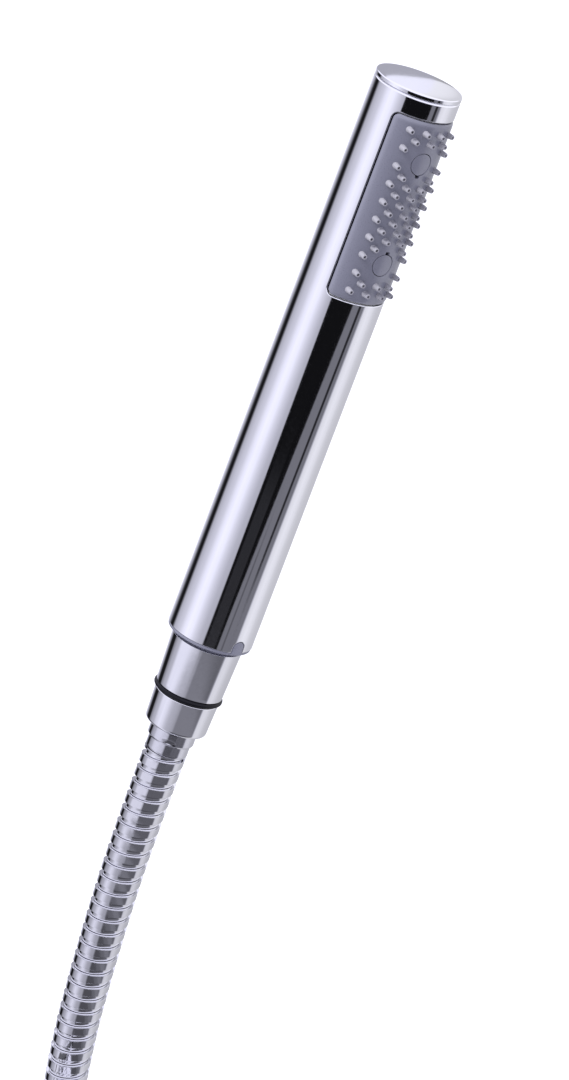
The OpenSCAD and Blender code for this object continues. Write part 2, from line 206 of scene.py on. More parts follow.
LOWER_RAMP_FROM, LOWER_RAMP_TO = -20.3, -21.3
# Overhead the studio is white. Behind the object the cap sees a dim wall and a lamp, whose
# edge slants, and which is a little darker to one side.
OVERHEAD, OVERHEAD_SOFT = 1.05, 3
WALL, LAMP = 0.42, 0.92
LAMP_SLANT, LAMP_FROM, LAMP_TO = -2.7, 11.8, 12.4
FADED, FADE_FROM, FADE_TO = 0.74, 0.6, -2.2
REAR_HALF, REAR_SIDE_SOFT = 40, 6
REAR_LOW, REAR_HIGH, REAR_SOFT = 4, 22, 1
# The light's tint, which is bluer to the camera's left than past an azimuth on its right
RED, GREEN, BLUE_LEFT, BLUE_RIGHT = 0.968, 0.968, 1.13, 1.045
COOL_FROM, COOL_TO = 86, 74
# The key light: its power, size and distance, and where it stands and points
KEY_POWER, KEY_SIZE, KEY_DISTANCE = 27, 0.5, 1.5
KEY_AZ, KEY_EL = CAM_AZ - math.radians(58), math.radians(42)
KEY_AIM = Vector((0, 0, 0.17))
FLOOR_SIZE, FLOOR_Z, FLOOR_GLOW = 60, -0.9, 0.25


def studio_ramp(tree, azimuth, stops):
    ramp = tree.nodes.new("ShaderNodeValToRGB")
    elements = ramp.color_ramp.elements
    for element, (_, light) in zip(elements, (stops[0], stops[-1])):
        element.color = (light, light, light, 1)
    for degrees, light in stops[1:-1]:
        elements.new((degrees + 180) / 360).color = (light, light, light, 1)
    tree.links.new(math_node(tree, "MULTIPLY_ADD", azimuth, 1 / 360, 0.5), ramp.inputs["Fac"])
    return ramp.outputs["Color"]


def blend_value(tree, mask, a, b):
    """a where mask is 0, b where it is 1."""
    gap = math_node(tree, "SUBTRACT", b, a)
    return math_node(tree, "MULTIPLY_ADD", mask, gap, a)


def window(tree, value, low, high, soft):
    """1 between low and high, with soft edges."""
    def shifted(edge, by):
        return edge + by if isinstance(edge, (int, float)) else math_node(tree, "ADD", edge, by)
    rise = smooth_step(tree, value, shifted(low, -soft), shifted(low, soft))
    fall = smooth_step(tree, value, shifted(high, soft), shifted(high, -soft))
    return math_node(tree, "MULTIPLY", rise, fall)


def view_angles(tree):
    """The azimuth round from the camera and from the camera's far side, and the elevation."""
    place = tree.nodes.new("ShaderNodeTexCoord")
    split = tree.nodes.new("ShaderNodeSeparateXYZ")
    tree.links.new(place.outputs["Generated"], split.inputs[0])
    x, y, z = split.outputs
    azimuth = math_node(tree, "ARCTAN2", x, math_node(tree, "MULTIPLY", y, -1))
    azimuth = math_node(tree, "SUBTRACT", math_node(tree, "DEGREES", azimuth), math.degrees(CAM_AZ))
    azimuth = math_node(tree, "WRAP", azimuth, 180, -180)
    behind = math_node(tree, "WRAP", math_node(tree, "ADD", azimuth, 180), 180, -180)
    elevation = math_node(tree, "DEGREES", math_node(tree, "ARCSINE", z))
    return azimuth, behind, elevation


def with_bands(tree, light, azimuth, elevation):
    along = tree.nodes.new("ShaderNodeMapRange")
    for name, value in (("From Min", TOP_VIEW), ("From Max", FOOT_VIEW)):
        along.inputs[name].default_value = value
    tree.links.new(elevation, along.inputs["Value"])
    for top, foot, dark, soft, (high, low) in BANDS:
        edges = [math_node(tree, "MULTIPLY_ADD", along.outputs["Result"], b - a, a)
                 for a, b in zip(top, foot)]
        mask = window(tree, azimuth, edges[0], edges[1], soft)
        stands = window(tree, elevation, low, high, BAND_END_SOFT)
        light = blend_value(tree, math_node(tree, "MULTIPLY", mask, stands), light, dark)
    return light


def with_cap_lights(tree, light, behind, elevation):
    above = smooth_step(tree, elevation, -OVERHEAD_SOFT, OVERHEAD_SOFT)
    light = blend_value(tree, above, light, OVERHEAD)
    slant = math_node(tree, "MULTIPLY_ADD", behind, LAMP_SLANT, elevation)
    lamp = blend_value(tree, smooth_step(tree, slant, LAMP_FROM, LAMP_TO), WALL, LAMP)
    faded = math_node(tree, "MULTIPLY", lamp, FADED)
    lamp = blend_value(tree, smooth_step(tree, behind, FADE_FROM, FADE_TO), lamp, faded)
    sides = window(tree, behind, -REAR_HALF, REAR_HALF, REAR_SIDE_SOFT)
    heights = window(tree, elevation, REAR_LOW, REAR_HIGH, REAR_SOFT)
    return blend_value(tree, math_node(tree, "MULTIPLY", sides, heights), light, lamp)


def tinted(tree, light, azimuth):
    tint = tree.nodes.new("ShaderNodeCombineColor")
    cool = smooth_step(tree, azimuth, COOL_FROM, COOL_TO)
    for socket, share in zip(tint.inputs, (RED, GREEN, blend_value(tree, cool, BLUE_RIGHT, BLUE_LEFT))):
        tree.links.new(math_node(tree, "MULTIPLY", light, share), socket)
    return tint.outputs["Color"]


def make_world():
    world = bpy.data.worlds.new("studio")
    bpy.context.scene.world = world
    world.use_nodes = True
    tree = world.node_tree
    azimuth, behind, elevation = view_angles(tree)
    lower = smooth_step(tree, elevation, LOWER_RAMP_FROM, LOWER_RAMP_TO)
    ramps = [studio_ramp(tree, azimuth, stops) for stops in (UPPER_RAMP, LOWER_RAMP)]
    light = blend_value(tree, lower, *ramps)
    light = with_bands(tree, light, azimuth, elevation)
    light = with_cap_lights(tree, light, behind, elevation)

    # the object reflects the studio, and past the floor's edge the camera sees plain white
    studio = tree.nodes["Background"]
    tree.links.new(tinted(tree, light, azimuth), studio.inputs["Color"])
    plain = tree.nodes.new("ShaderNodeBackground")
    plain.inputs["Color"].default_value = (1, 1, 1, 1)
    mix = tree.nodes.new("ShaderNodeMixShader")
    tree.links.new(tree.nodes.new("ShaderNodeLightPath").outputs["Is Camera Ray"], mix.inputs[0])
    tree.links.new(studio.outputs[0], mix.inputs[1])
    tree.links.new(plain.outputs[0], mix.inputs[2])
    tree.links.new(mix.outputs[0], tree.nodes["World Output"].inputs["Surface"])


def make_floor():
    bpy.ops.mesh.primitive_plane_add(size=FLOOR_SIZE, location=(0, 0, FLOOR_Z))
    floor = bpy.context.object
    floor.name = "floor"
    floor.visible_glossy = False
    material = bpy.data.materials.new("pale_floor")
    material.use_nodes = True
    shader = material.node_tree.nodes["Principled BSDF"]
    shader.inputs["Base Color"].default_value = (0.95, 0.95, 0.95, 1)
    shader.inputs["Roughness"].default_value = 0.9
    shader.inputs["Emission Color"].default_value = (1, 1, 1, 1)
    shader.inputs["Emission Strength"].default_value = FLOOR_GLOW
    floor.data.materials.append(material)


def make_key_light():
    """A soft lamp to the camera's left that models the nozzles; the chrome doesn't mirror it."""
    lamp = bpy.data.objects.new("key", bpy.data.lights.new("key", "AREA"))
    lamp.data.energy = KEY_POWER
    lamp.data.size = KEY_SIZE
    lamp.visible_glossy = False
    back = direction(KEY_AZ, KEY_EL)
    lamp.location = KEY_AIM + back * KEY_DISTANCE
    lamp.rotation_euler = back.to_track_quat("Z", "Y").to_euler()
    bpy.context.scene.collection.objects.link(lamp)


# ---------- materials ----------

# Two colours, then metallic, roughness and how far it drifts, the grain's scale, the bump's
# strength and, where they aren't the usual ones, the coat and the gloss.
FINISHES = {
    "chrome": ((0.95, 0.95, 0.98), (0.91, 0.91, 0.95), 1, 0.045, 0.015, 900, 0.015),
    "ferrule_chrome": ((0.8, 0.8, 0.84), (0.74, 0.74, 0.79), 1, 0.1, 0.03, 1500, 0.1),
    "hose_metal": ((0.86, 0.86, 0.89), (0.76, 0.76, 0.8), 1, 0.06, 0.03, 2200, 0.08),
    "spray_plate_grey": ((0.140, 0.142, 0.184), (0.128, 0.130, 0.170), 0, 0.3, 0.04, 4200, 0.25, 0.6, 1),
    "soft_nozzle": ((0.285, 0.282, 0.312), (0.262, 0.259, 0.290), 0, 0.5, 0.05, 5000, 0.2),
    "ring_grey": ((0.165, 0.168, 0.215), (0.15, 0.153, 0.2), 0, 0.35, 0.05, 4200, 0.25, 0.3, 0.8),
    "black_rubber": ((0.003, 0.003, 0.005), (0.005, 0.005, 0.008), 0, 0.35, 0.08, 3600, 0.3, 0, 0.2),
    "tie_plastic": ((0.02, 0.02, 0.022), (0.028, 0.028, 0.03), 0, 0.5, 0.06, 2600, 0.3),
    "white_plastic": ((0.75, 0.75, 0.72), (0.7, 0.7, 0.67), 0, 0.4, 0.06, 3000, 0.2),
    "screw_steel": ((0.55, 0.56, 0.58), (0.5, 0.51, 0.53), 1, 0.25, 0.06, 3000, 0.3),
    "brass": ((0.72, 0.53, 0.25), (0.66, 0.48, 0.22), 1, 0.25, 0.06, 2500, 0.3),
}
COAT_ROUGHNESS = 0.2
DRIFT_SCALE, DRIFT_DETAIL, GRAIN_DETAIL = 90, 4, 3
GRAIN_LOW, GRAIN_HIGH = 0.3, 0.7
BUMP_DEPTH = 0.00003


def surface(name, colour, other, metallic, roughness, spread, grain, bump, coat=0, gloss=0.5):
    """A finish whose colour and roughness drift a little over the surface, with a fine bump."""
    material = bpy.data.materials.new(name)
    material.use_nodes = True
    tree = material.node_tree
    shader = tree.nodes["Principled BSDF"]
    shader.inputs["Metallic"].default_value = metallic
    shader.inputs["Coat Weight"].default_value = coat
    shader.inputs["Coat Roughness"].default_value = COAT_ROUGHNESS
    shader.inputs["Specular IOR Level"].default_value = gloss
    place = tree.nodes.new("ShaderNodeTexCoord")
    broad = tree.nodes.new("ShaderNodeTexNoise")
    broad.inputs["Scale"].default_value = DRIFT_SCALE
    broad.inputs["Detail"].default_value = DRIFT_DETAIL
    fine = tree.nodes.new("ShaderNodeTexNoise")
    fine.inputs["Scale"].default_value = grain
    fine.inputs["Detail"].default_value = GRAIN_DETAIL
    for node in (broad, fine):
        tree.links.new(place.outputs["Object"], node.inputs["Vector"])
    mix = tree.nodes.new("ShaderNodeMix")
    mix.data_type = "RGBA"
    mix.inputs["A"].default_value = (*colour, 1)
    mix.inputs["B"].default_value = (*other, 1)
    tree.links.new(broad.outputs["Fac"], mix.inputs["Factor"])
    tree.links.new(mix.outputs["Result"], shader.inputs["Base Color"])
    rough = tree.nodes.new("ShaderNodeMapRange")
    rough.inputs["From Min"].default_value = GRAIN_LOW
    rough.inputs["From Max"].default_value = GRAIN_HIGH
    rough.inputs["To Min"].default_value = roughness - spread
    rough.inputs["To Max"].default_value = roughness + spread
    tree.links.new(fine.outputs["Fac"], rough.inputs["Value"])
    tree.links.new(rough.outputs["Result"], shader.inputs["Roughness"])
    bumps = tree.nodes.new("ShaderNodeBump")
    bumps.inputs["Strength"].default_value = bump
    bumps.inputs["Distance"].default_value = BUMP_DEPTH
    tree.links.new(fine.outputs["Fac"], bumps.inputs["Height"])
    tree.links.new(bumps.outputs["Normal"], shader.inputs["Normal"])
    return material


def make_materials():
    return {name: surface(name, *finish) for name, finish in FINISHES.items()}


# ---------- meshes ----------

def merge(parts):
    """One vertex and face list out of several."""
    vertices, faces = [], []
    for part_vertices, part_faces in parts:
        start = len(vertices)
        vertices.extend(part_vertices)
        faces.extend(tuple(i + start for i in face) for face in part_faces)
    return vertices, faces


def rows_to_faces(rows, closed=True):
    """Quads between rows of points that all have the same number."""
    count = len(rows[0])
    vertices = [p for row in rows for p in row]
    faces = []
    for i in range(len(rows) - 1):
        for k in range(count if closed else count - 1):
            m = (k + 1) % count
            faces.append((i * count + k, i * count + m, (i + 1) * count + m, (i + 1) * count + k))
    return vertices, faces


def round_off(points, closed=False, steps=6):
    """A polyline [(r, z, fillet radius)] with its corners rounded."""
    result = []
    count = len(points)
    for i, (x, y, radius) in enumerate(points):
        here = Vector((x, y))
        if radius <= 0 or (not closed and i in (0, count - 1)):
            result.append((x, y))
            continue
        before = Vector(points[i - 1][:2]) - here
        after = Vector(points[(i + 1) % count][:2]) - here
        half = before.angle(after) / 2
        reach = radius / math.tan(half)
        start = here + before.normalized() * reach
        end = here + after.normalized() * reach
        inward = (before.normalized() + after.normalized()).normalized()
        middle = here + inward * (radius / math.sin(half))
        a, b = start - middle, end - middle
        sweep = math.atan2(a.x * b.y - a.y * b.x, a.dot(b))
        for k in range(steps + 1):
            turn = sweep * k / steps
            c, s = math.cos(turn), math.sin(turn)
            result.append((middle.x + a.x * c - a.y * s, middle.y + a.x * s + a.y * c))
    return result


def lathe(profile, segments=96, shape=None):
    """A profile of (r, z) turned round the Z axis. shape(angle, r, z) may change r."""
    rows = []
    for r, z in profile:
        row = []
        for k in range(segments):
            a = WHOLE * k / segments
            radius = shape(a, r, z) if shape else r
            row.append((radius * math.cos(a), radius * math.sin(a), z))
        rows.append(row)
    return rows_to_faces(rows)


def wrap(u, v, r):
    """A point on the handset's skin: u along the arc at the tube's radius, v up, r out."""
    a = u / TUBE_R
    return (r * math.sin(a), -r * math.cos(a), v)


def wrap_all(points, r):
    return [wrap(u, v, r) for u, v in points]


def moved(part, matrix):
    vertices, faces = part
    return [tuple(matrix @ Vector(p)) for p in vertices], faces


SAME_POINT, NO_LENGTH, SKIN_TOLERANCE = 2e-6, 1e-6, 2e-6
SHARP_ANGLE = math.radians(38)


def skin_normals(mesh, radii):
    """Normals that point straight out where a vertex is on one of these radii, and (0, 0, 0) elsewhere."""
    normals = []
    for vertex in mesh.vertices:
        x, y, _ = vertex.co
        r = math.hypot(x, y)
        on_skin = any(abs(r - wanted * MM) < SKIN_TOLERANCE for wanted in radii)
        normals.append((x / r, y / r, 0) if on_skin else (0, 0, 0))
    return normals


def make_piece(name, part, body, slot, material, replaces=(), radial=()):
    """Turns a vertex and face list in millimetres into a finished piece."""
    vertices, faces = part
    mesh = bpy.data.meshes.new(name)
    mesh.from_pydata([tuple(x * MM for x in p) for p in vertices], [], faces)
    work = bmesh.new()
    work.from_mesh(mesh)
    bmesh.ops.remove_doubles(work, verts=work.verts, dist=SAME_POINT)
    bmesh.ops.dissolve_degenerate(work, edges=work.edges, dist=NO_LENGTH)
    bmesh.ops.recalc_face_normals(work, faces=work.faces)
    work.to_mesh(mesh)
    work.free()
    mesh.shade_smooth()
    mesh.set_sharp_from_angle(angle=SHARP_ANGLE)
    if radial:
        mesh.normals_split_custom_set_from_vertices(skin_normals(mesh, radial))
    piece = bpy.data.objects.new(name, mesh)
    bpy.context.scene.collection.objects.link(piece)
    piece.data.materials.append(material)
    if not radial:
        weighted = piece.modifiers.new("weighted", "WEIGHTED_NORMAL")
        weighted.keep_sharp = True
    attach(piece, body)
    if replaces:
        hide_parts(*replaces)
    return piece


# ---------- the handset's skin ----------

def side_points(half, radius, straight, arc=CORNER_STEPS):
    """One side of a rounded rectangle, corner middle to corner middle, as (along, depth)."""
    points = []
    for k in range(arc):
        a = math.pi / 4 * (1 - k / arc)
        points.append((-(half - radius) - radius * math.sin(a), radius * (1 - math.cos(a))))
    for k in range(straight + 1):
        points.append(((half - radius) * (2 * k / straight - 1), 0))
    for k in range(1, arc + 1):
        a = math.pi / 4 * k / arc
        points.append((half - radius + radius * math.sin(a), radius * (1 - math.cos(a))))
    return points


def side_count(straight):
    """How many points a side of a rounded rectangle has."""
    return straight + 1 + 2 * CORNER_STEPS


def rounded_outline(half_u, half_v, radius, across, along, v=0):
    """The four sides of a rounded rectangle, anticlockwise from the lower left corner."""
    short, long = side_points(half_u, radius, across), side_points(half_v, radius, along)
    return [
        [(a, v - half_v + d) for a, d in short],
        [(half_u - d, v + a) for a, d in long],
        [(-a, v + half_v - d) for a, d in short],
        [(-half_u + d, v - a) for a, d in long],
    ]


def joined(sides):
    """One closed outline out of sides that share their end points."""
    return [p for side in sides for p in side[:-1]]


def notch_edge(offset, below, turn=24, side=4, run=44):
    """The tube's lower edge with its key notch, drawn this far inside the metal."""
    seam = math.pi * TUBE_R
    half = KEY_HALF_W + KEY_GAP + offset
    low = TUBE_BOTTOM + below
    start, end = KEY_CENTRE_U - half, KEY_CENTRE_U + half
    left = [(-seam + (start + seam) * k / run, low) for k in range(run + 1)]
    rise = [(start, low + (KEY_ARC_V - low) * k / side) for k in range(1, side + 1)]
    over = []
    for k in range(1, turn):
        a = math.pi * k / turn
        over.append((KEY_CENTRE_U - half * math.cos(a), KEY_ARC_V + half * math.sin(a)))
    fall = [(end, KEY_ARC_V + (low - KEY_ARC_V) * k / side) for k in range(side + 1)]
    right = [(end + (seam - end) * k / run, low) for k in range(1, run + 1)]
    return left + rise + over + fall + right


def edge_steps(radius, steps=5):
    """(how far inside the edge, how far below the skin) round a rounded edge, from the skin down."""
    quarter = math.pi / 2
    return [(radius * (1 - math.sin(quarter * k / steps)), radius * (1 - math.cos(quarter * k / steps)))
            for k in range(steps + 1)]


def between(a, b, share):
    return [(p[0] + (q[0] - p[0]) * share, p[1] + (q[1] - p[1]) * share) for p, q in zip(a, b)]


def spaced(start, end, count):
    """Evenly spaced points from start to end."""
    across, up = end[0] - start[0], end[1] - start[1]
    return [(start[0] + across * k / (count - 1), start[1] + up * k / (count - 1)) for k in range(count)]


def skin_rows(start, end, r, steps):
    """Rows of points at radius r, from one outline to another with as many points."""
    return [wrap_all(between(start, end, k / steps), r) for k in range(steps + 1)]


def tube_part():
    rim, window_edge, foot = 0.8, 0.3, 0.25
    seam = math.pi * TUBE_R
    join_v, top_v = WINDOW_Z - WINDOW_HALF_V - 6, TUBE_TOP - rim
    foot_edge, notch = notch_edge(foot, foot), notch_edge(0, 0)
    count, along = len(foot_edge), 56
    across = count - side_count(0)

    def hole(offset):
        return joined(rounded_outline(
            WINDOW_HALF_U + offset, WINDOW_HALF_V + offset, WINDOW_CORNER + offset, across, along, WINDOW_Z
        ))

    line = spaced((-seam, join_v), (seam, join_v), count)
    rim_line = spaced((seam, top_v), (-seam, top_v), count)
    outer = joined([
        line,
        spaced((seam, join_v), (seam, top_v), side_count(along)),
        rim_line,
        spaced((-seam, top_v), (-seam, join_v), side_count(along)),
    ])

    def level(v, r):
        return [wrap(u, v, r) for u, _ in rim_line]

    skin = skin_rows(hole(window_edge), outer, TUBE_R, 14)
    reveal = [wrap_all(hole(inside), TUBE_R - down) for inside, down in edge_steps(window_edge)]
    reveal.append(wrap_all(hole(0), BORE_R))
    inner = skin_rows(hole(0), outer, BORE_R, 1)
    lower = skin_rows(foot_edge, line, TUBE_R, 10)
    base = [wrap_all(notch_edge(inside, inside), TUBE_R - down) for inside, down in edge_steps(foot, 3)]
    base.append(wrap_all(notch, BORE_R))
    lining = skin_rows(notch, line, BORE_R, 1)
    crown = [level(TUBE_TOP - inside, TUBE_R - down) for inside, down in edge_steps(rim, 7)]
    crown += [level(TUBE_TOP, BORE_R), level(top_v, BORE_R)]
    closed = [rows_to_faces(rows) for rows in (skin, reveal, inner)]
    opened = [rows_to_faces(rows, False) for rows in (lower, base, lining, crown)]
    return merge(closed + opened)


def cap_part():
    """The crowned cap, a thin seam above the tube, with the step and the plug under it."""
    seam_gap, step_in, step_h, plug_gap, plug_h, steps = 0.12, 0.8, 0.5, 0.2, 4, 40
    low, high = TUBE_TOP + seam_gap, CAP_HIGH[2] - CAP_CROWN
    step_r, plug_r = TUBE_R - step_in, BORE_R - plug_gap
    dome = []
    for k in range(steps):
        share = k / steps
        dome.append((TUBE_R * k / steps, high + CAP_CROWN * (1 - 0.6 * share ** 2 - 0.4 * share ** 10)))
    edge = round_off([
        (*dome[-1], 0), (TUBE_R, high, 0.33), (TUBE_R, low, 0.1), (step_r, low, 0),
        (step_r, low - step_h, 0), (plug_r, low - step_h, 0), (plug_r, low - plug_h, 0), (0, low - plug_h, 0),
    ], steps=8)
    return lathe(dome[:-1] + edge, FINE_ROUND)


PLATE_EDGE, PLATE_EDGE_DROP, PLATE_THICK = 1.85, 0.28, 1.6
PLATE_ACROSS, PLATE_ALONG = 40, 60
WELL_GAP, WELL_EDGE = 0.17, 0.12
PRY_H, PRY_HALF_ANGLE = 0.85, math.radians(12)


def plate_outline(inside, v):
    """The four sides of the plate's outline, drawn this far inside it."""
    return rounded_outline(
        PLATE_HALF_U - inside, PLATE_HALF_V - inside, PLATE_CORNER - inside, PLATE_ACROSS, PLATE_ALONG, v
    )


def well_outline(centre, angles, radius):
    """A screw well's edge, with the notch where its cover is pried off."""
    points = []
    for a in angles:
        away = math.atan2(math.sin(a - math.pi / 2), math.cos(a - math.pi / 2))
        reach = radius + PRY_H * max(0.0, 1 - (away / PRY_HALF_ANGLE) ** 6)
        points.append((centre[0] + reach * math.cos(a), centre[1] + reach * math.sin(a)))
    return points


def plate_half(side):
    """The plate's flat skin from its middle to one end, with that end's screw well."""
    bottom, right, _, left = plate_outline(PLATE_EDGE, 0)
    right = [p for p in right if p[1] <= 1e-9]
    left = [p for p in left if p[1] <= 1e-9]
    flat_half = PLATE_HALF_U - PLATE_EDGE
    outline = joined([bottom, right, spaced((flat_half, 0), (-flat_half, 0), PLATE_ACROSS + 1), left])
    centre = (0, -SCREW_OFFSET)
    angles = [math.atan2(v - centre[1], u - centre[0]) for u, v in outline]

    def put(points, r):
        return [wrap(u, WINDOW_Z + v * -side, r) for u, v in points]

    hole = COVER_R + WELL_GAP
    brim = well_outline(centre, angles, hole + WELL_EDGE)
    rows = [put(between(brim, outline, k / 10), PLATE_R) for k in range(11)]
    wall = [put(well_outline(centre, angles, hole + inside), PLATE_R - down)
            for inside, down in edge_steps(WELL_EDGE, 3)]
    wall.append(put(well_outline(centre, angles, hole), PLATE_R - PLATE_THICK))
    return merge([rows_to_faces(rows), rows_to_faces(wall)])


def plate_part():
    rim = [wrap_all(joined(plate_outline(inside, WINDOW_Z)), PLATE_R - down * PLATE_EDGE_DROP)
           for inside, down in edge_steps(PLATE_EDGE, 9)]
    rim.append(wrap_all(joined(plate_outline(0, WINDOW_Z)), PLATE_R - PLATE_THICK))
    return merge([plate_half(-1), plate_half(1), rows_to_faces(rim)])


def disc_part(radius, edge, centre, skin_r, depth, ring=72):
    """A round plug that follows the skin's curve, with a rounded edge."""
    def circle(r, skin):
        points = []
        for k in range(ring):
            a = WHOLE * k / ring
            points.append((centre[0] + r * math.cos(a), centre[1] + r * math.sin(a)))
        return wrap_all(points, skin)

    rows = [circle((radius - edge) * k / 5, skin_r) for k in range(6)]
    rows += [circle(radius - inside, skin_r - down) for inside, down in edge_steps(edge, 4)]
    rows.append(circle(radius, skin_r - depth))
    return rows_to_faces(rows)


COVER_SKIN_R, COVER_EDGE, COVER_THICK = PLATE_R - 0.04, 0.14, 1.4


def cover_discs_part():
    """The two plugs that cover the plate's screws."""
    centres = [(0, WINDOW_Z + side * SCREW_OFFSET) for side in (-1, 1)]
    return merge([disc_part(COVER_R, COVER_EDGE, centre, COVER_SKIN_R, COVER_THICK) for centre in centres])


# The nozzles' columns from the left, each with its rows from the top
OUTER_ROWS = list(range(10))
SECOND_ROWS = [0.5, 2.5, 3.5, 4.5, 5.5, 6.5, 8.5]
FIRST_ROWS = [0, 3, 4, 5, 6, 9]
MIDDLE_ROWS = [0.5, 3.5, 4.5, 5.5, 8.5]
COLUMNS = [(-3, OUTER_ROWS), (-2, SECOND_ROWS), (-1, FIRST_ROWS), (0, MIDDLE_ROWS),
           (1, FIRST_ROWS), (2, SECOND_ROWS), (3, OUTER_ROWS)]
MIDDLE_ROW = 4.5


def nozzle_part():
    """One soft nozzle, standing on the skin: foot, slightly tapered stem, rounded tip and jet."""
    foot_r, stem_r, shoulder_r, tip_r = 1.05, 0.94, 0.88, 0.74
    jet_r, jet_end_r, jet_end = 0.42, 0.4, NOZZLE_H - 1.4
    return lathe(round_off([
        (foot_r, -0.4, 0), (foot_r, 0.0, 0), (stem_r, 0.1, 0.1), (shoulder_r, 1.1, 0),
        (tip_r, NOZZLE_H, 0.18), (jet_r, NOZZLE_H, 0.08), (jet_end_r, jet_end, 0), (0, jet_end, 0),
    ], steps=4), 24)


def nozzles_part():
    one = nozzle_part()
    parts = []
    for column, rows in COLUMNS:
        place = math.radians(column * COLUMN_ANGLE)
        turn = Matrix.Rotation(place * NOZZLE_FAN, 4, "Z") @ Matrix.Rotation(math.pi / 2, 4, "X")
        for row in rows:
            up = WINDOW_Z + (MIDDLE_ROW - row) * ROW_PITCH
            spot = Vector((PLATE_R * math.sin(place), -PLATE_R * math.cos(place), up))
            parts.append(moved(one, Matrix.Translation(spot) @ turn))
    return merge(parts)


KEY_SKIN_R = TUBE_R - 0.02


def ring_part():
    """The ring's lip under the tube, on a post that stands in the neck's recess."""
    outer, inner, post_r = TUBE_R - 0.15, BORE_R - 0.1, GAP_R + 0.4
    top, seat = TUBE_BOTTOM + 4, TUBE_BOTTOM - 0.06
    lip_low, post_low = TUBE_BOTTOM - RING_LIP, RING_LOW - NECK_GAP + 0.02
    return lathe(round_off([
        (GAP_R, top, 0), (GAP_R, post_low, 0.1), (post_r, post_low, 0), (post_r, lip_low, 0),
        (outer - 0.1, lip_low, 0.3), (outer, seat, 0.15), (inner, seat, 0), (inner, top, 0), (GAP_R, top, 0),
    ]), FINE_ROUND)


def key_part():
    """The ring's tongue, which fills the tube's notch."""
    edge, back_r, turn, side = 0.25, 11.5, 24, 4
    low = TUBE_BOTTOM - 0.3

    def outline(inside):
        half = KEY_HALF_W - inside
        points = []
        for k in range(turn + 1):
            a = math.pi * k / turn
            points.append((KEY_CENTRE_U + half * math.cos(a), KEY_ARC_V + half * math.sin(a)))
        points += spaced((KEY_CENTRE_U - half, KEY_ARC_V), (KEY_CENTRE_U - half, low), side + 1)[1:]
        points += spaced((KEY_CENTRE_U + half, low), (KEY_CENTRE_U + half, KEY_ARC_V), side + 1)[:-1]
        return points

    skin = outline(edge)
    heart = [(KEY_CENTRE_U, (TUBE_BOTTOM + KEY_ARC_V) / 2)] * len(skin)
    rows = skin_rows(heart, skin, KEY_SKIN_R, 5)
    rows += [wrap_all(outline(inside), KEY_SKIN_R - down) for inside, down in edge_steps(edge, 4)]
    rows.append(wrap_all(outline(0), back_r))
    return rows_to_faces(rows)


def base_ring_part():
    return merge([ring_part(), key_part()])


def neck_part():
    """The tapered neck: a recess at its top for the ring's post, a seat at its foot for the grip ring."""
    bore_r, recess_r, seat_r = 8, GAP_R - 0.1, 9.25
    top, shoulder, seat_high, seat_low = 19.4, RING_LOW - NECK_GAP, 0.85, -0.95
    edge = 0.06
    return lathe(round_off([
        (bore_r, top, 0), (recess_r, top, 0), (recess_r, shoulder, 0), (NECK_TOP_R - edge, shoulder, 0.04),
        (NECK_BOTTOM_R + edge, 2.2, 0), (NECK_BOTTOM_R, seat_high, 0.35), (seat_r, seat_high, 0.1),
        (seat_r, seat_low, 0), (bore_r, seat_low, 0), (bore_r, top, 0),
    ]), FINE_ROUND)


def grip_ring_part(radius=10.45, thick=0.79, steps=24):
    ring = []
    for k in range(steps + 1):
        a = WHOLE * k / steps
        ring.append((radius + thick * math.cos(a), thick * math.sin(a)))
    return lathe(ring, FINE_ROUND)


def nut_part():
    """The hose's swivel nut: a tapered shell that closes in under the hose's spigot."""
    top, bore_r, mouth_r = -1.05, 8.3, 6.2
    inside_low = NUT_LOW + 2
    return lathe(round_off([
        (bore_r, top, 0), (NUT_TOP_R, top, 0.3), (NUT_BOTTOM_R, NUT_LOW, 1.2), (mouth_r, NUT_LOW, 0.3),
        (mouth_r, inside_low, 0), (bore_r, inside_low, 0), (bore_r, top, 0),
    ], steps=8), FINE_ROUND)


# ---------- hose ----------

CRIMP_DENTS, CRIMP_TURN, CRIMP_DEPTH = 3, math.radians(12), 0.2
CRIMP_MIN_R, CRIMP_LOW, CRIMP_HIGH = 6.9, 4.4, 6.6
CRIMP_Z, CRIMP_HALF_H = 5.1, 0.55


def crimped(a, r, z):
    """The ferrule's radius, less the shallow dents pressed into its larger collar."""
    if r < CRIMP_MIN_R or z < CRIMP_LOW or z > CRIMP_HIGH:
        return r
    around = max(0.0, math.cos(CRIMP_DENTS * (a + CRIMP_TURN))) ** 4
    upward = math.exp(-((z - CRIMP_Z) / CRIMP_HALF_H) ** 2)
    return r - CRIMP_DEPTH * (around * upward)


def ferrule_part():
    """Two collars that stand on the hose's end, the larger one crimped."""
    bore_r, foot_r, small_r, large_r = 3.2, 6.6, 6.8, 7.5
    small_top, large_low, top = 3.9, 4.5, 8.65
    body = round_off([
        (bore_r, 0, 0), (foot_r, 0, 0.3), (small_r, 0.6, 0), (small_r, small_top, 0.1), (6.95, 4.25, 0),
        (large_r, large_low, 0.3), (large_r, top, 0.4), (4.45, top, 0),
    ])
    fine = []
    for start, end in zip(body, body[1:]):
        tall = abs(end[1] - start[1]) > 1 and start[0] > 6
        fine += spaced(start, end, 17 if tall else 2)[:-1]
    fine.append(body[-1])
    return lathe(fine, 144, crimped)


